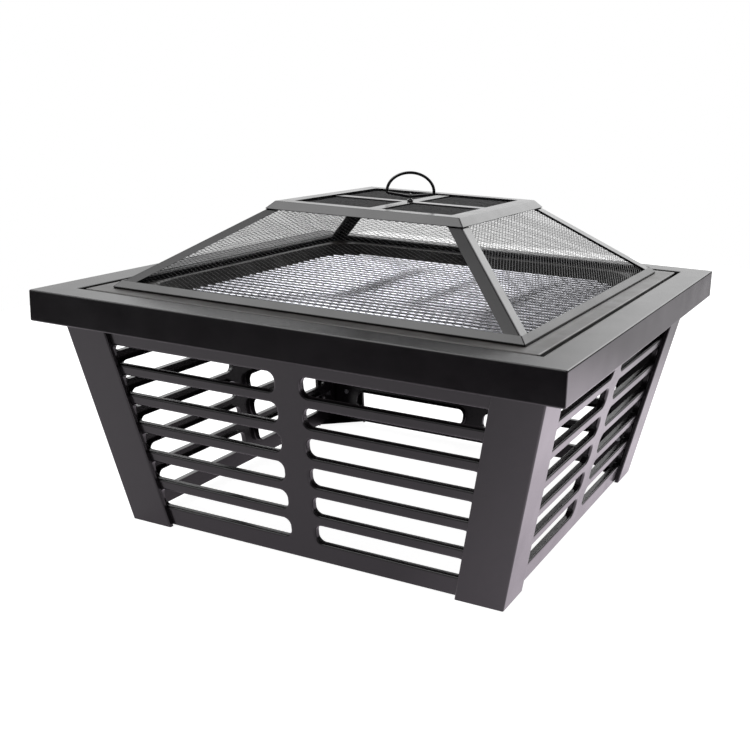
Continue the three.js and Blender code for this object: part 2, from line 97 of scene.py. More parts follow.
def filletPath(points, radius, steps=5, support=0.7):
    # rounds each bend of a polyline and keeps a short flat beside it, so the flats shade flat
    path = [Vector(points[0])]
    for i in range(1, len(points) - 1):
        here = Vector(points[i])
        before = (Vector(points[i - 1]) - here).normalized()
        after = (Vector(points[i + 1]) - here).normalized()
        bendRadius = radius[i] if isinstance(radius, dict) else radius
        halfAngle = before.angle(after) / 2
        run = bendRadius / math.tan(halfAngle)
        centre = here + (before + after).normalized() * (bendRadius / math.sin(halfAngle))
        start = here + before * run
        end = here + after * run
        path.append(start + before * support)
        first = start - centre
        sweep = math.pi - 2 * halfAngle
        if first.x * (end - centre).y - first.y * (end - centre).x < 0:
            sweep = -sweep
        for k in range(steps + 1):
            turn = sweep * k / steps
            cosine, sine = math.cos(turn), math.sin(turn)
            path.append(centre + Vector((first.x * cosine - first.y * sine,
                                         first.x * sine + first.y * cosine)))
        path.append(end + after * support)
    path.append(Vector(points[-1]))
    return path


def foldedProfile(points, thickness, radius, steps=5, support=0.7):
    # closed outline of a folded sheet whose middle line is given
    path = filletPath(points, radius, steps, support)
    left, right = [], []
    for i, here in enumerate(path):
        before = (here - path[i - 1]).normalized() if i else None
        after = (path[i + 1] - here).normalized() if i < len(path) - 1 else None
        along = ((before or after) + (after or before)).normalized()
        side = Vector((-along.y, along.x))
        stretch = 1 / max(0.5, along.dot(after or before))
        left.append(here + side * thickness / 2 * stretch)
        right.append(here - side * thickness / 2 * stretch)
    return left + right[::-1]


def squareLoop(half, corner, z, steps=4, support=0.8):
    # counterclockwise rounded square, with short flats beside each rounded corner
    loop = []
    for cx, cy, start in ((1, -1, -90), (1, 1, 0), (-1, 1, 90), (-1, -1, 180)):
        arc = []
        for i in range(steps + 1):
            turn = math.radians(start + 90 * i / steps)
            arc.append((cx * (half - corner) + corner * math.cos(turn),
                        cy * (half - corner) + corner * math.sin(turn)))
        ax, ay = math.radians(start - 90), math.radians(start + 180)
        loop.append((arc[0][0] + support * math.cos(ax), arc[0][1] + support * math.sin(ax)))
        loop.extend(arc)
        loop.append((arc[-1][0] + support * math.cos(ay), arc[-1][1] + support * math.sin(ay)))
    return [Vector((x * mm, y * mm, z * mm)) for x, y in loop]


def sweepSquare(profile, cornerAt):
    # sweeps a closed outline in (half, height) round the square
    return stitchLoops([squareLoop(p.x, cornerAt(p.x, p.y), p.y) for p in profile])


def roundRod(start, end, radius, sides=14, dome=0.35):
    # straight wire with slightly domed ends, in millimetres
    start, end = Vector(start), Vector(end)
    axis = (end - start).normalized()
    side = axis.orthogonal().normalized()
    other = axis.cross(side)
    loops = []
    for point, out, size in ((start, -dome * radius, 0.55), (start, -0.1 * radius, 0.9), (start, 0.3 * radius, 1),
                             (end, -0.3 * radius, 1), (end, 0.1 * radius, 0.9), (end, dome * radius, 0.55)):
        centre = point + axis * out
        loops.append([(centre + (side * math.cos(t) + other * math.sin(t)) * radius * size) * mm
                      for t in (2 * math.pi * i / sides for i in range(sides))])
    vertices, faces = stitchLoops(loops, closedAcross=False)
    faces.append(list(range(sides)))
    faces.append(list(range(len(vertices) - sides, len(vertices))))
    return vertices, faces


def wireAlong(points, radius, normal, sides=12, closed=True):
    # round wire along a path of points in one plane, in millimetres
    points = [Vector(p) for p in points]
    normal = Vector(normal)
    loops = []
    count = len(points)
    for i, here in enumerate(points):
        before = points[i - 1] if (closed or i) else here
        after = points[(i + 1) % count] if (closed or i < count - 1) else here
        along = (after - before).normalized()
        side = along.cross(normal).normalized()
        loops.append([(here + (side * math.cos(t) + normal * math.sin(t)) * radius) * mm
                      for t in (2 * math.pi * k / sides for k in range(sides))])
    vertices, faces = stitchLoops(loops, closedAcross=closed)
    if not closed:
        faces.append(list(range(sides)))
        faces.append(list(range(len(vertices) - sides, len(vertices))))
    return vertices, faces


def quarterTurn(turns):
    return Matrix.Rotation(math.pi / 2 * turns, 4, "Z")


def toLinear(hexColour):
    channels = [int(hexColour[i:i + 2], 16) / 255 for i in (1, 3, 5)]
    linear = [c / 12.92 if c <= 0.04045 else ((c + 0.055) / 1.055) ** 2.4 for c in channels]
    return (*linear, 1)


def addNode(tree, kind, inputs=None, **settings):
    # a node given as an input is linked by its first output
    node = tree.nodes.new(kind)
    for name, value in settings.items():
        setattr(node, name, value)
    for socket, value in (inputs or {}).items():
        if isinstance(value, bpy.types.Node):
            value = value.outputs[0]
        if isinstance(value, bpy.types.NodeSocket):
            tree.links.new(value, node.inputs[socket])
        else:
            node.inputs[socket].default_value = value
    return node


def startMaterial(name):
    material = bpy.data.materials.new(name)
    material.use_nodes = True
    tree = material.node_tree
    place = addNode(tree, "ShaderNodeTexCoord").outputs["Object"]
    return material, tree, tree.nodes["Principled BSDF"], place


def finishFrom(name, s):
    # two soft grains vary the colour and the gloss, a third one gives the relief; sizes are in millimetres
    material, tree, shader, place = startMaterial(name)
    for socket, value in s.get("fixed", {}).items():
        shader.inputs[socket].default_value = value
    if "stretch" in s:
        place = addNode(tree, "ShaderNodeMapping", {"Vector": place, "Scale": s["stretch"]}).outputs[0]
    grains = {}
    for use in ("colourGrain", "glossGrain", "reliefGrain"):
        if use in s and s[use] not in grains:
            size, detail = s[use]
            grains[s[use]] = addNode(tree, "ShaderNodeTexNoise",
                                     {"Vector": place, "Scale": 1 / (size * mm), "Detail": detail})
    if "colourGrain" in s:
        share = addNode(tree, "ShaderNodeMapRange", {
            "Value": grains[s["colourGrain"]], "From Min": 0.3, "From Max": 0.7,
            "To Min": 0, "To Max": s.get("share", 1)})
        mix = addNode(tree, "ShaderNodeMix", {0: share, 6: toLinear(s["colour"]), 7: toLinear(s["second"])},
                      data_type="RGBA")
        tree.links.new(mix.outputs[2], shader.inputs["Base Color"])
    else:
        shader.inputs["Base Color"].default_value = toLinear(s["colour"])
    gloss = addNode(tree, "ShaderNodeMapRange", {
        "Value": grains[s["glossGrain"]], "From Min": 0.3, "From Max": 0.7,
        "To Min": s["roughness"][0], "To Max": s["roughness"][1]})
    tree.links.new(gloss.outputs[0], shader.inputs["Roughness"])
    if "reliefGrain" in s:
        strength, height = s["relief"]
        bump = addNode(tree, "ShaderNodeBump",
                       {"Strength": strength, "Distance": height * mm, "Height": grains[s["reliefGrain"]]})
        tree.links.new(bump.outputs[0], shader.inputs["Normal"])
    return material


# sprayed and baked near-black paint on pressed steel: semi-gloss, faint orange peel, uneven sheen
bakedEnamel = {
    "colour": "#100f11", "second": "#171517", "colourGrain": (9, 3), "glossGrain": (70, 3),
    "roughness": (0.19, 0.27), "reliefGrain": (3.0, 1), "relief": (0.5, 0.02), "fixed": {"IOR": 1.5},
}
# heat-resistant stove paint on the drawn bowl: satin, slightly brown, with a fine sprayed grit
# the real grit is about 0.2 mm and would not show, so it is drawn at 1.6 mm
bowlPaint = {
    "colour": "#1d1b1a", "second": "#2a2522", "colourGrain": (45, 3), "glossGrain": (45, 3),
    "roughness": (0.30, 0.44), "reliefGrain": (1.6, 2), "relief": (0.6, 0.03),
}
# the same paint gone matt and darker inside the bowl: the darker colour is painted shade in the hollow under the
# screen, with a soft dry grain its grain, finer than 0.5 mm, is drawn at 1.4 mm so that it shows
bowlInsidePaintedShade = {
    "colour": "#0c0b0b", "second": "#161413", "colourGrain": (60, 4), "glossGrain": (60, 4),
    "roughness": (0.55, 0.75), "reliefGrain": (1.4, 2), "relief": (0.6, 0.05),
    "fixed": {"Specular IOR Level": 0.2},
}
# bright chrome plate over drawn wire: mirror gloss broken by fine lines along the wire
# drawing lines are a few hundredths of a millimetre, far too fine to show, so they are drawn 2.5 mm wide
chromeWire = {
    "colour": "#ececf2", "second": "#c2c3ca", "colourGrain": (2.5, 2), "glossGrain": (2.5, 2), "share": 0.6,
    "stretch": (0.08, 1, 1), "roughness": (0.10, 0.24), "fixed": {"Metallic": 1},
}
# dipped black paint on expanded steel: thin on the strand edges, so it varies from strand to strand
meshPaint = {
    "colour": "#1a1a1b", "second": "#2c2c2d", "colourGrain": (5, 2), "glossGrain": (5, 2),
    "roughness": (0.25, 0.40),
}
# thick gloss enamel on the handle wire: deep black with small sharp highlights
handleGloss = {
    "colour": "#0f0f11", "glossGrain": (6, 2), "roughness": (0.08, 0.16),
    "reliefGrain": (6, 2), "relief": (0.3, 0.03), "fixed": {"Coat Weight": 0.6, "Coat Roughness": 0.06},
}
# bright zinc on screws and nuts: pale grey metal with a soft cloudy spangle
zincPlate = {
    "colour": "#b9bbbe", "second": "#8b8d90", "colourGrain": (1.8, 2), "glossGrain": (1.8, 2),
    "roughness": (0.25, 0.42), "fixed": {"Metallic": 1},
}

enamel = finishFrom("bakedEnamelOnSteel", bakedEnamel)
stovePaint = finishFrom("satinStovePaint", bowlPaint)
# darker, duller paint for the inside of the bowl: its colour is painted shade
bowlPaintedShade = finishFrom("mattBowlPaintWithPaintedShade", bowlInsidePaintedShade)
chrome = finishFrom("chromePlatedWire", chromeWire)
blackMesh = finishFrom("dippedBlackPaint", meshPaint)
handleBlack = finishFrom("glossBlackEnamel", handleGloss)
zinc = finishFrom("brightZincPlate", zincPlate)
print("materials made")


tableTop = {
    "half": 432, "height": 390, "apron": 49, "sheet": 2, "hem": 10,
    "opening": 382, "shelfDrop": 9, "shelf": 26, "bend": 1.3, "corner": 1.8,
    "studRadius": 2.5, "studLength": 10, "studFromCorner": 46,
}
legFaceLean = 0.2
footHalf = 329
looseGap = 0.3  # between pieces that lie on each other, in millimetres


def legFace(z):
    return footHalf + legFaceLean * z


def makeTableTop():
    s = tableTop
    t = s["sheet"]
    edge = s["half"] - t / 2
    top = s["height"] - t / 2
    low = s["height"] - s["apron"] + t / 2
    wall = s["opening"] + t / 2
    shelfZ = s["height"] - s["shelfDrop"] - t / 2
    path = [(s["half"] - s["hem"], low), (edge, low), (edge, top), (wall, top), (wall, shelfZ),
            (s["opening"] - s["shelf"], shelfZ)]
    profile = foldedProfile(path, t, s["bend"])
    parts = MeshParts()
    parts.add(*sweepSquare(profile, lambda half, z: s["corner"]))
    legTop = s["height"] - t - looseGap
    face = legFace(legTop) - 11
    along = legFace(legTop) - s["studFromCorner"]
    under = s["height"] - t
    for turn in range(4):
        for x, y in ((along, -face), (face, -along)):
            stud = roundRod((x, y, under + 0.5), (x, y, under - s["studLength"]), s["studRadius"], 12)
            parts.add(*stud, place=quarterTurn(turn))
    sheetObject("tableTop", parts.vertices, parts.faces, "table", ["table_top"], enamel)


makeTableTop()
print("table top made")


legShape = {
    "width": 76, "sheet": 2, "lip": 7.2, "bend": 1.4, "footPlate": 2, "tab": 19,
    "bossRadius": 7, "bossFromCorner": 38, "screwHeights": (58, 312),
}


def leanUp(outline, z0, z1, closeEnds=True):
    # outline at ground level pushed up along the corner's lean
    loops = []
    for z in (z0, z0 + 0.6, z1 - 0.6, z1):
        loops.append([Vector(((x + legFaceLean * z) * mm, (y - legFaceLean * z) * mm, z * mm)) for x, y in outline])
    vertices, faces = stitchLoops(loops, closedAcross=False)
    count = len(outline)
    if closeEnds:
        faces.append(list(range(count)))
        faces.append(list(range(3 * count, 4 * count)))
    return vertices, faces


def stripEnds(profile):
    # end faces of a folded strip, as quads between its two sides
    half = len(profile) // 2
    return [[i, i + 1, 2 * half - 2 - i, 2 * half - 1 - i] for i in range(half - 1)]


def makeLegs():
    s = legShape
    t = s["sheet"]
    f = footHalf
    middle = f - t / 2
    inner = f - s["lip"]
    far = f - s["width"] + t / 2
    path = [(inner, -far), (middle, -far), (middle, -middle), (far, -middle), (far, -inner)]
    profile = [(p.x, p.y) for p in foldedProfile(path, t, s["bend"])]
    legTop = tableTop["height"] - tableTop["sheet"] - looseGap
    parts = MeshParts()
    vertices, faces = leanUp(profile, 0, legTop, closeEnds=False)
    count = len(profile)
    faces += stripEnds(profile)
    faces += [[i + 3 * count for i in face] for face in stripEnds(profile)]
    parts.add(vertices, faces)
    w = s["width"]
    plate = [(f - 1, -f + 1), (f - 1, -f + w - 4), (f - w + 4, -f + 1)]
    parts.add(*leanUp(plate, 0.02, s["footPlate"]))
    tab = [(f - 1, -f + 1), (f - 1, -f + w - 4), (f - s["tab"], -f + w - 4), (f - s["tab"], -f + s["tab"]),
           (f - w + 4, -f + s["tab"]), (f - w + 4, -f + 1)]
    parts.add(*leanUp(tab, legTop - t, legTop - 0.02))
    square = Vector((0, 1, legFaceLean)).normalized()
    for z in s["screwHeights"]:
        x = legFace(z) - s["bossFromCorner"]
        base = Vector((x, -legFace(z), z))
        depth = 1 / math.sqrt(1 + legFaceLean ** 2)
        boss = roundRod(base + square * 1.2 * depth, base + square * 7.0 * depth, s["bossRadius"], 20, dome=0)
        parts.add(*boss)
        mirrored = [Vector((-v.y, -v.x, v.z)) for v in boss[0]]
        parts.add(mirrored, boss[1])
    for turn, name in enumerate(cornerNames):
        turned = [quarterTurn(turn) @ v for v in parts.vertices]
        sheetObject("leg_" + name + "_folded", turned, parts.faces, "table", ["leg_" + name], enamel)


makeLegs()
print("legs made")


panelShape = {
    "front": 7.5, "sheet": 2, "bottom": 3.5, "top": 370, "sideInset": 12, "rows": 6, "slotHeight": 31,
    "pitch": 48.5, "slotBottom": 35, "corner": 12, "stile": 44, "behindLeg": 8,
    "rimDepth": 12, "rimSheet": 1.6, "roll": 4.0,
}


def panelPoint(x, z, inset):
    return Vector((x * mm, -(legFace(z) - inset) * mm, z * mm))


def slotLoop(slot, grow, inset, steps=7):
    x0, z0, x1, z1 = slot
    radius = panelShape["corner"] + grow
    loop = []
    for cx, cz, start in ((x1 - radius + grow, z0 + radius - grow, -90),
                          (x1 - radius + grow, z1 - radius + grow, 0),
                          (x0 + radius - grow, z1 - radius + grow, 90),
                          (x0 + radius - grow, z0 + radius - grow, 180)):
        for i in range(steps + 1):
            turn = math.radians(start + 90 * i / steps)
            loop.append(panelPoint(cx + radius * math.cos(turn), cz + radius * math.sin(turn), inset))
    return loop


def slotPlaces():
    s = panelShape
    slots = []
    for row in range(s["rows"]):
        z0 = s["slotBottom"] + row * s["pitch"]
        z1 = z0 + s["slotHeight"]
        outer = legFace((z0 + z1) / 2) - legShape["width"] + s["behindLeg"]
        slots.append((-outer, z0, -s["stile"] / 2, z1))
        slots.append((s["stile"] / 2, z0, outer, z1))
    return slots


def plateFace(bm, outline, holes):
    # fills one flat face with openings
    edges = []
    for loop in [outline, *holes]:
        ring = [bm.verts.new(p) for p in loop]
        for i, vertex in enumerate(ring):
            edges.append(bm.edges.new((vertex, ring[(i + 1) % len(ring)])))
    bmesh.ops.triangle_fill(bm, use_beauty=True, use_dissolve=False, edges=edges)


def makePanels():
    s = panelShape
    slots = slotPlaces()
    back = s["front"] + s["sheet"]
    rolls = [(s["roll"] + 0.6, s["front"])]
    for k in range(7):
        turn = math.radians(90 * k / 6)
        rolls.append((s["roll"] * (1 - math.sin(turn)), s["front"] + s["roll"] * (1 - math.cos(turn))))
    deep = s["front"] + s["rimDepth"]
    rolls += [(0, deep - 0.5), (0.15, deep), (s["rimSheet"] - 0.15, deep), (s["rimSheet"], deep - 0.5)]
    innerRoll = s["roll"] - s["rimSheet"]
    for k in range(5):
        turn = math.radians(90 - 90 * k / 4)
        rolls.append((s["rimSheet"] + innerRoll * (1 - math.sin(turn)), back + innerRoll * (1 - math.cos(turn))))
    rolls.append((s["roll"] + 0.6, back))

    bm = bmesh.new()
    low, high, inset = s["bottom"], s["top"], s["sideInset"]

    def outlineAt(depth):
        corners = [(-(legFace(low) - inset), low), (legFace(low) - inset, low),
                   (legFace(high) - inset, high), (-(legFace(high) - inset), high)]
        return [panelPoint(x, z, depth) for x, z in corners]

    outerGrow = rolls[0][0]
    plateFace(bm, outlineAt(s["front"]), [slotLoop(slot, outerGrow, s["front"]) for slot in slots])
    plateFace(bm, outlineAt(back), [slotLoop(slot, outerGrow, back) for slot in slots])
    for slot in slots:
        loops = [slotLoop(slot, grow, depth) for grow, depth in rolls]
        vertices, faces = stitchLoops(loops, closedAcross=False)
        made = [bm.verts.new(v) for v in vertices]
        for face in faces:
            bm.faces.new([made[i] for i in face])
    front, rear = outlineAt(s["front"]), outlineAt(back)
    rim = [bm.verts.new(p) for p in front + rear]
    for i in range(4):
        j = (i + 1) % 4
        bm.faces.new([rim[i], rim[j], rim[4 + j], rim[4 + i]])
    bmesh.ops.remove_doubles(bm, verts=bm.verts[:], dist=0.02 * mm)
    bm.verts.index_update()
    vertices = [v.co.copy() for v in bm.verts]
    faces = [[v.index for v in f.verts] for f in bm.faces]
    bm.free()
    for turn, name in enumerate(sideNames):
        turned = [quarterTurn(turn) @ v for v in vertices]
        sheetObject("panel_" + name + "_rolled", turned, faces, "table", ["panel_" + name], enamel)


makePanels()
print("panels made")


bowlShape = {
    "flange": 374.5, "top": 389, "sheet": 2, "rimLow": 381.3, "opening": 328, "openingCorner": 100,
    "floorHalf": 205, "floorCorner": 60, "depth": 125,
}


def makeBowl():
    s = bowlShape
    t = s["sheet"]
    floorZ = s["top"] - s["depth"] + t / 2
    path = [(s["flange"] - t / 2, s["rimLow"]), (s["flange"] - t / 2, s["top"] - t / 2),
            (s["opening"] + t / 2, s["top"] - t / 2), (s["floorHalf"] + t / 2, floorZ), (12, floorZ)]
    radii = {1: 1.6, 2: 6, 3: 22}
    line = filletPath(path, radii, steps=7, support=1.2)
    extra = []
    for a, b in zip(line, line[1:]):
        extra.append(a)
        pieces = int((b - a).length // 20)
        extra += [a.lerp(b, (k + 1) / (pieces + 1)) for k in range(pieces)]
    extra.append(line[-1])

    def cornerAt(half, z):
        if half > s["flange"] - 4:
            return 4 - (s["flange"] - half) * 0.6
        if half >= s["opening"] + 6:
            share = (s["flange"] - 4 - half) / (s["flange"] - 4 - s["opening"] - 6)
            return 4 + s["openingCorner"] * share
        if half >= s["floorHalf"]:
            share = (half - s["floorHalf"]) / (s["opening"] + 6 - s["floorHalf"])
            return s["floorCorner"] + (s["openingCorner"] + 4 - s["floorCorner"]) * share
        return s["floorCorner"] * half / s["floorHalf"]

    left, right = [], []
    for i, here in enumerate(extra):
        before = (here - extra[i - 1]).normalized() if i else None
        after = (extra[i + 1] - here).normalized() if i < len(extra) - 1 else None
        along = ((before or after) + (after or before)).normalized()
        side = Vector((-along.y, along.x)) * t / 2
        corner = cornerAt(here.x, here.y)
        left.append((here + side, corner))
        right.append((here - side, corner))
    loops = [squareLoop(p.x, corner, p.y, steps=8, support=1) for p, corner in left[::-1] + right]
    vertices, faces = stitchLoops(loops, closedAcross=False)
    count = len(loops[0])
    faces.append(list(range(count)))
    faces.append(list(range(len(vertices) - count, len(vertices))))
    bowl = sheetObject("fireBowlPressed", vertices, faces, "bowl", ["fire_bowl"], stovePaint, sharp=50)
    # the upward faces inside the bowl take the darker paint, which is painted shade in the bowl's hollow
    bowl.data.materials.append(bowlPaintedShade)
    for face in bowl.data.polygons:
        if face.center.z < (s["top"] - 4) * mm and face.normal.z > 0.2:  # upward faces below the flange
            face.material_index = 1


makeBowl()
print("bowl made")


grateShape = {"top": 372, "rod": 3.0, "frame": 3.6, "pitch": 20.4, "rods": 29, "crossAt": 112, "bite": 0.9}


def makeGrate():
    s = grateShape
    rodZ = s["top"] - s["rod"]
    frameZ = rodZ - s["rod"] - s["frame"] + s["bite"]
    low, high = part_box("cooking_grate")
    half = high.x / mm - s["frame"]
    slope = (bowlShape["openingCorner"] - bowlShape["floorCorner"]) / (bowlShape["depth"] - bowlShape["sheet"])
    frameRise = frameZ - (bowlShape["top"] - bowlShape["depth"] + bowlShape["sheet"])
    corner = bowlShape["floorCorner"] + slope * frameRise - (s["frame"] + 0.3) * math.sqrt(2) - 0.2
    parts = MeshParts()
    ring = []
    for cx, cy, start in ((1, -1, -90), (1, 1, 0), (-1, 1, 90), (-1, -1, 180)):
        for i in range(17):
            turn = math.radians(start + 90 * i / 16)
            ring.append((cx * (half - corner) + corner * math.cos(turn),
                         cy * (half - corner) + corner * math.sin(turn), frameZ))
    parts.add(*wireAlong(ring, s["frame"], (0, 0, 1), 14))
    for i in range(s["rods"]):
        y = (i - (s["rods"] - 1) / 2) * s["pitch"]
        past = max(0, abs(y) - (half - corner))
        reach = half - corner + math.sqrt(corner * corner - past * past)
        parts.add(*roundRod((-reach, y, rodZ), (reach, y, rodZ), s["rod"], 14))
    for x in (-s["crossAt"], s["crossAt"]):
        parts.add(*roundRod((x, -half, frameZ), (x, half, frameZ), s["frame"], 14))
    sheetObject("grateWelded", parts.vertices, parts.faces, "grate", ["cooking_grate"], chrome)


makeGrate()
print("grate made")


screenShape = {
    "foot": 389.3, "baseHalf": 346.5, "baseRise": 11, "baseRun": 10.8, "footInner": 328, "sheet": 1.6,
    "top": 524.8, "topHalf": 163, "skirtRise": 12.8, "skirtRun": 12.3, "flange": 23,
    "hipWidth": 24, "hipSheet": 1.6, "barWidth": 20, "barReach": 155, "barSheet": 2,
}
hipLowZ = screenShape["foot"] + screenShape["baseRise"] - 2
hipHighZ = screenShape["top"] - screenShape["sheet"] - 2.6
hipLowHalf = (screenShape["baseHalf"] - screenShape["baseRun"]
              + screenShape["baseRun"] * 2 / screenShape["baseRise"] - 3)
hipSkirtHalf = screenShape["topHalf"] + screenShape["skirtRun"] - 3
hipRun = (hipSkirtHalf - hipLowHalf) / (screenShape["top"] - screenShape["skirtRise"] - hipLowZ)


def hipFace(z):
    return hipLowHalf + hipRun * (z - hipLowZ)


def makeScreenFrames():
    s = screenShape
    t = s["sheet"]
    lowZ = s["foot"] - 0.25 + t / 2
    base = [(s["footInner"] + 1, lowZ), (s["baseHalf"] - 1.9, lowZ),
            (s["baseHalf"] - s["baseRun"] - 1.1, s["foot"] + s["baseRise"] - 0.3)]
    profile = foldedProfile(base, t, 0.85)
    parts = MeshParts()
    parts.add(*sweepSquare(profile, lambda half, z: 1.6))
    sheetObject("screenBaseBand", parts.vertices, parts.faces, "spark_screen", ["screen_base_frame"],
                enamel)
    highZ = s["top"] - t / 2
    skirt = [(s["topHalf"] + s["skirtRun"] - 1.1, s["top"] - s["skirtRise"] + 0.3), (s["topHalf"] - 0.4, highZ),
             (s["topHalf"] - s["flange"] + 0.2, highZ)]
    profile = foldedProfile(skirt, t, 1.2)
    parts = MeshParts()
    parts.add(*sweepSquare(profile, lambda half, z: 1.6))
    sheetObject("screenTopCap", parts.vertices, parts.faces, "spark_screen", ["screen_top_frame"],
                enamel)


def makeHipPosts():
    s = screenShape
    start = hipFace(0)
    edge = start - 1.1
    path = [(edge, -start + s["hipWidth"]), (edge, -edge), (start - s["hipWidth"], -edge)]
    profile = [(p.x, p.y) for p in foldedProfile(path, 2.2, 1.4)]
    loops = []
    for z in (hipLowZ, hipLowZ + 0.6, hipHighZ - 0.6, hipHighZ):
        loops.append([Vector(((x + hipRun * z) * mm, (y - hipRun * z) * mm, z * mm)) for x, y in profile])
    vertices, faces = stitchLoops(loops, closedAcross=False)
    count = len(profile)
    faces += stripEnds(profile)
    faces += [[i + 3 * count for i in face] for face in stripEnds(profile)]
    for turn, name in enumerate(cornerNames):
        turned = [quarterTurn(turn) @ v for v in vertices]
        sheetObject("hip_" + name + "_folded", turned, faces, "spark_screen", ["hip_post_" + name],
                    enamel)


def makeCrossBars():
    # two flat bars crossed at the middle, with eased edges
    s = screenShape
    top = s["top"] - s["sheet"] - looseGap
    low = top - s["barSheet"]
    half = s["barWidth"] / 2
    parts = MeshParts()
    section = [(-half, low), (half, low), (half, top - 0.5), (half - 0.5, top),
               (-half + 0.5, top), (-half, top - 0.5)]
    for turn in range(2):
        loops = []
        for x in (-s["barReach"], s["barReach"]):
            lift = 0.01 * turn
            loops.append([Vector((x * mm, y * mm, (z + lift) * mm)) for y, z in section])
        vertices, faces = stitchLoops(loops, closedAcross=False)
        faces.append(list(range(6)))
        faces.append(list(range(6, 12)))
        parts.add(vertices, faces, place=quarterTurn(turn))
    sheetObject("crossBars", parts.vertices, parts.faces, "spark_screen", ["screen_cross_bars"],
                enamel)


makeScreenFrames()
makeHipPosts()
makeCrossBars()
print("screen frame made")


expanded = {
    "longWay": 12.3, "shortWay": 5.8, "strand": 0.68, "sheet": 0.35, "bond": 2.0, "twist": 38,
    "behind": 4.4, "edge": 1.5,
}


def expandedStrands(origin, along, up, length, reachAt):
    # rows of zigzag strands that touch their neighbours at the bonds; each strand's face is twisted up the slope
    s = expanded
    normal = along.cross(up).normalized()
    step = s["longWay"] / 2
    twist = math.radians(s["twist"])
    level = s["shortWay"] / 4 - s["strand"] / 2 * math.cos(twist)
    parts = MeshParts()
    rows = int(length / (s["shortWay"] / 2))
    for row in range(rows):
        height = (row + 0.5) * s["shortWay"] / 2
        reach = reachAt(height)
        count = int(reach / step)
        if count < 1:
            continue
        points = []
        for k in range(-count, count + 1):
            sign = 1 if (k + row) % 2 == 0 else -1
            for offset in (-s["bond"] / 2, s["bond"] / 2):
                points.append((k * step + offset, height + sign * level))
        loops = []
        for i, (u, v) in enumerate(points):
            directions = []
            for a, b in ((i - 1, i), (i, i + 1)):
                if a >= 0 and b < len(points):
                    du, dv = points[b][0] - points[a][0], points[b][1] - points[a][1]
                    directions.append((along * du + up * dv).normalized())
            tangent = sum(directions, Vector()).normalized()
            across = normal.cross(tangent)
            face = normal * math.cos(twist) + across * math.sin(twist)
            side = face.cross(tangent)
            centre = origin + along * u + up * v
            w, t = s["strand"] / 2, s["sheet"] / 2
            loops.append([(centre + side * a * w + face * b * t) * mm
                          for a, b in ((-1, -1), (1, -1), (1, 1), (-1, 1))])
        vertices, faces = stitchLoops(loops, closedAcross=False)
        faces.append([0, 1, 2, 3])
        faces.append([len(vertices) - 4 + i for i in range(4)])
        parts.add(vertices, faces)
    return parts


def makeExpandedSides():
    low = screenShape["foot"] + screenShape["sheet"] + expanded["edge"]
    high = hipHighZ - expanded["edge"]
    run = hipFace(high) - hipFace(low)
    slope = math.hypot(run, high - low)
    up = Vector((0, -run / slope, (high - low) / slope))
    origin = Vector((0, -(hipFace(low) - expanded["behind"]), low))

    def reachAt(height):
        return hipFace(low) + run * height / slope - 8

    parts = expandedStrands(origin, Vector((1, 0, 0)), up, slope, reachAt)
    for turn, name in enumerate(sideNames):
        turned = [quarterTurn(turn) @ v for v in parts.vertices]
        sheetObject("expandedMetal_" + name, turned, parts.faces, "spark_screen", ["screen_mesh_" + name],
                    blackMesh, sharp=30)


def makeExpandedTop():
    top = screenShape["top"] - screenShape["sheet"] - looseGap - screenShape["barSheet"] - 1.0
    half = hipFace(top) - 6
    origin = Vector((0, -half, top))
    parts = expandedStrands(origin, Vector((1, 0, 0)), Vector((0, 1, 0)), 2 * half, lambda height: half)
    sheetObject("expandedMetal_top", parts.vertices, parts.faces, "spark_screen", ["screen_mesh_top"],
                blackMesh, sharp=30)


makeExpandedSides()
makeExpandedTop()
print("expanded metal made")


handleShape = {
    "axis": 531.2, "turn": 25, "wire": 2.5, "width": 84, "height": 45, "dip": 4.5, "bend": 4,
    "eyeRing": 4.2, "eyeWire": 1.35, "shank": 3, "nutRadius": 5.8,
}
handleTurn = Matrix.Rotation(math.radians(handleShape["turn"]), 4, "Z")


def makeBowHandle():
    s = handleShape
    half = s["width"] / 2 - s["wire"]
    side = s["dip"] + s["bend"]
    height = s["height"] - 2 * s["wire"]
    points = []

    def corner(x, start):
        for i in range(9):
            turn = math.radians(start + 83 * i / 8)
            points.append((x + s["bend"] * math.cos(turn), 0, s["axis"] + side + s["bend"] * math.sin(turn)))

    for x, rise in ((-10, 0.13), (-5, 0.05), (0, 0.02), (5, 0.05), (10, 0.13)):
        points.append((x, 0, s["axis"] + s["dip"] * rise * 2))
    corner(half - s["bend"], -83)
    for i in range(1, 40):
        turn = math.pi * i / 40
        points.append((half * math.cos(turn), 0, s["axis"] + side + (height - side) * math.sin(turn)))
    corner(-half + s["bend"], 180)
    vertices, faces = wireAlong(points, s["wire"], (0, -1, 0), 16)
    vertices = [handleTurn @ v for v in vertices]
    sheetObject("bowHandle", vertices, faces, "handle", ["ring_handle"], handleBlack, sharp=60)


def hexNut(z0, z1, radius, bore):
    outer = [(radius * math.cos(math.radians(60 * i)), radius * math.sin(math.radians(60 * i))) for i in range(6)]
    ring = []
    for i in range(6):
        a, b = outer[i], outer[(i + 1) % 6]
        ring += [(a[0] + (b[0] - a[0]) * k / 4, a[1] + (b[1] - a[1]) * k / 4) for k in range(4)]

    def loopAt(z, limit):
        loop = []
        for x, y in ring:
            share = min(1, limit / math.hypot(x, y))
            loop.append(Vector((x * share * mm, y * share * mm, z * mm)))
        return loop

    hole = [Vector((bore * math.cos(2 * math.pi * i / 24) * mm, bore * math.sin(2 * math.pi * i / 24) * mm, 0))
            for i in range(24)]
    flat = radius * math.cos(math.radians(30)) - 0.1
    loops = [loopAt(z0, flat), loopAt(z0 + 0.6, radius), loopAt(z1 - 0.6, radius), loopAt(z1, flat),
             [v + Vector((0, 0, z1 * mm)) for v in hole], [v + Vector((0, 0, z0 * mm)) for v in hole]]
    return stitchLoops(loops)


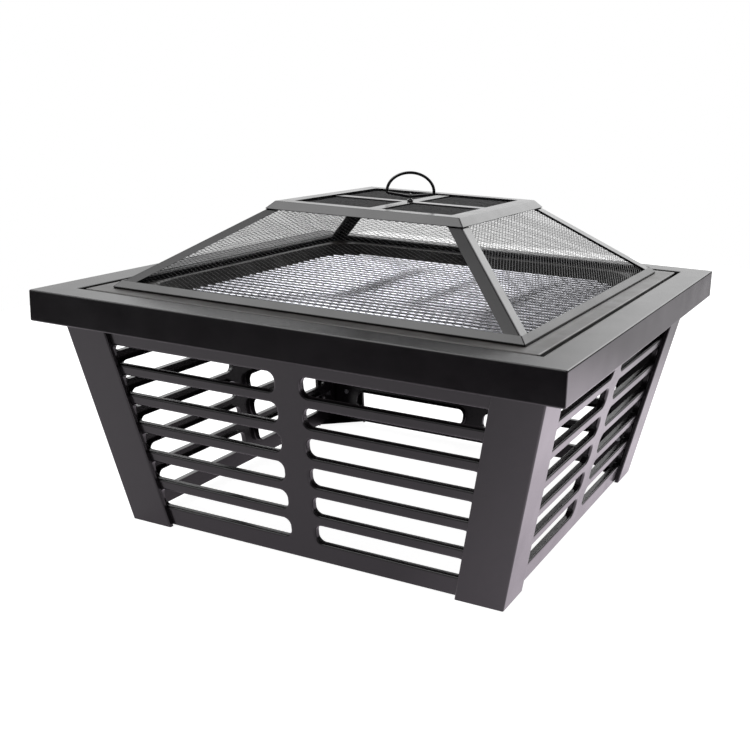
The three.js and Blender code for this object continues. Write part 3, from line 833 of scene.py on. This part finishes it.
def makeEyeBolt():
    s = handleShape
    parts = MeshParts()
    turns = [2 * math.pi * i / 32 for i in range(32)]
    ring = [(0, s["eyeRing"] * math.cos(turn), s["axis"] + s["eyeRing"] * math.sin(turn)) for turn in turns]
    parts.add(*wireAlong(ring, s["eyeWire"], (1, 0, 0), 14), place=handleTurn)
    low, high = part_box("handle_eye_bolt")
    parts.add(*roundRod((0, 0, low.z / mm + 1), (0, 0, s["axis"] - s["eyeRing"]), s["shank"], 16))
    sheetObject("eyeBolt", parts.vertices, parts.faces, "spark_screen", ["handle_eye_bolt"],
                handleBlack, sharp=40)
    for node, material, slotName in (("handle_nut_upper", handleBlack, "handle_paint"),
                                     ("handle_nut_lower", zinc, "zinc_fasteners")):
        low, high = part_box(node)
        vertices, faces = hexNut(low.z / mm, high.z / mm, s["nutRadius"], s["shank"] + 0.3)
        sheetObject(node + "_chamfered", vertices, faces, "spark_screen", [node], material, sharp=25)


makeBowHandle()
makeEyeBolt()
print("handle made")


# screws and the table's nuts keep their shape and get zinc
for name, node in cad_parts.items():
    if name.startswith(("screw_", "nut_")):
        node.data.materials.clear()
        node.data.materials.append(zinc)


view = {
    "position": (0.81016, -1.63723, 0.72184), "yaw": 25.187, "pitch": 13.409, "roll": 2.105,
    "lens": 51.8607, "shift": (-0.06895, -0.04865),
}


def makeCamera():
    yaw, pitch, roll = (math.radians(view[k]) for k in ("yaw", "pitch", "roll"))
    ahead = Vector((-math.sin(yaw) * math.cos(pitch), math.cos(yaw) * math.cos(pitch), -math.sin(pitch)))
    right = Vector((math.cos(yaw), math.sin(yaw), 0))
    up = right.cross(ahead)
    rolledRight = right * math.cos(roll) + up * math.sin(roll)
    rolledUp = up * math.cos(roll) - right * math.sin(roll)
    data = bpy.data.cameras.new("camera")
    data.lens = view["lens"]
    data.sensor_width = 36
    data.shift_x, data.shift_y = view["shift"]
    camera = bpy.data.objects.new("camera", data)
    axes = Matrix((rolledRight, rolledUp, -ahead)).transposed().to_4x4()
    camera.matrix_world = Matrix.Translation(view["position"]) @ axes
    bpy.context.scene.collection.objects.link(camera)
    bpy.context.scene.camera = camera


studio = {
    "floorColour": "#b0b0b0", "floorBounds": ((-1.7, -1.15), (2.2, 3.0)),
    "floorSeen": 0.95, "floorLeft": 0.6, "floorRight": 1.6, "floorFar": 0.14, "floorTint": "#fff2ff",
    # where the floor's glow changes, in metres along X and along Y
    "acrossFloor": (0.15, 0.5), "behindFloor": (0.45, 1.3),
    "ambient": 0.10, "belowHorizon": 0.04,
    # azimuth from +Y towards +X and elevation, inner and outer half angle in degrees, radiance
    "lobes": [
        (-25, 2, 3, 16, 1.6), (-50, 16, 5, 22, 1.0), (0, 16, 5, 22, 1.7), (-30, 38, 8, 30, 1.9),
        (8, 38, 8, 28, 3.0), (-114, 58, 6, 27, 5.2), (-140, 25, 10, 40, 0.7), (80, 40, 10, 40, 0.8),
    ],
}


def skyDirection(azimuth, elevation):
    a, e = math.radians(azimuth), math.radians(elevation)
    return Vector((math.sin(a) * math.cos(e), math.cos(a) * math.cos(e), math.sin(e)))


def makeFloor():
    (x0, y0), (x1, y1) = studio["floorBounds"]
    mesh = bpy.data.meshes.new("floor")
    mesh.from_pydata([(x0, y0, 0), (x1, y0, 0), (x1, y1, 0), (x0, y1, 0)], [], [(0, 1, 2, 3)])
    floor = bpy.data.objects.new("floor", mesh)
    floor.location.z = -0.0005
    bpy.context.scene.collection.objects.link(floor)
    material, tree, shader, place = startMaterial("paleStudioFloor")
    shader.inputs["Base Color"].default_value = toLinear(studio["floorColour"])
    shader.inputs["Roughness"].default_value = 0.9
    across = addNode(tree, "ShaderNodeSeparateXYZ", {"Vector": place})
    glow = 1.0
    for axis, (near, far), start, end in (("X", studio["acrossFloor"], studio["floorLeft"], studio["floorRight"]),
                                          ("Y", studio["behindFloor"], 1, studio["floorFar"])):
        ramp = addNode(tree, "ShaderNodeMapRange", {
            "Value": across.outputs[axis], "From Min": near, "From Max": far, "To Min": start, "To Max": end})
        glow = addNode(tree, "ShaderNodeMath", {0: glow, 1: ramp}, operation="MULTIPLY")
    seen = addNode(tree, "ShaderNodeLightPath").outputs["Is Camera Ray"]
    shown = addNode(tree, "ShaderNodeMix", {0: seen, 2: glow, 3: studio["floorSeen"]})
    tree.links.new(shown.outputs[0], shader.inputs["Emission Strength"])
    tint = addNode(tree, "ShaderNodeMix", {0: seen, 6: toLinear(studio["floorTint"]), 7: toLinear("#ffffff")},
                   data_type="RGBA")
    tree.links.new(tint.outputs[2], shader.inputs["Emission Color"])
    floor.data.materials.append(material)


def makeStudioLight():
    # soft boxes as bright patches of the surrounding sky; the camera itself sees plain white
    world = bpy.data.worlds.new("studio")
    bpy.context.scene.world = world
    world.use_nodes = True
    tree = world.node_tree
    tree.nodes.clear()
    direction = addNode(tree, "ShaderNodeTexCoord").outputs["Generated"]
    height = addNode(tree, "ShaderNodeSeparateXYZ", {"Vector": direction}).outputs["Z"]
    total = addNode(tree, "ShaderNodeMapRange", {
        "Value": height, "From Min": -0.03, "From Max": 0.08,
        "To Min": studio["belowHorizon"], "To Max": studio["ambient"]}).outputs["Result"]
    for azimuth, elevation, inner, outer, radiance in studio["lobes"]:
        aim = addNode(tree, "ShaderNodeVectorMath",
                      {0: direction, 1: skyDirection(azimuth, elevation)}, operation="DOT_PRODUCT")
        lobe = addNode(tree, "ShaderNodeMapRange", {
            "Value": aim.outputs["Value"], "From Min": math.cos(math.radians(outer)),
            "From Max": math.cos(math.radians(inner)), "To Min": 0, "To Max": radiance},
            interpolation_type="SMOOTHSTEP")
        total = addNode(tree, "ShaderNodeMath", {0: total, 1: lobe.outputs["Result"]}, operation="ADD").outputs[0]
    light = addNode(tree, "ShaderNodeBackground", {"Strength": total})
    plain = addNode(tree, "ShaderNodeBackground", {"Color": (1, 1, 1, 1), "Strength": 1})
    seen = addNode(tree, "ShaderNodeLightPath").outputs["Is Camera Ray"]
    both = addNode(tree, "ShaderNodeMixShader", {0: seen, 1: light.outputs[0], 2: plain.outputs[0]})
    addNode(tree, "ShaderNodeOutputWorld", {"Surface": both.outputs[0]})


makeCamera()
makeFloor()
makeStudioLight()
bpy.context.scene.view_settings.view_transform = "Standard"
print("camera and light made")
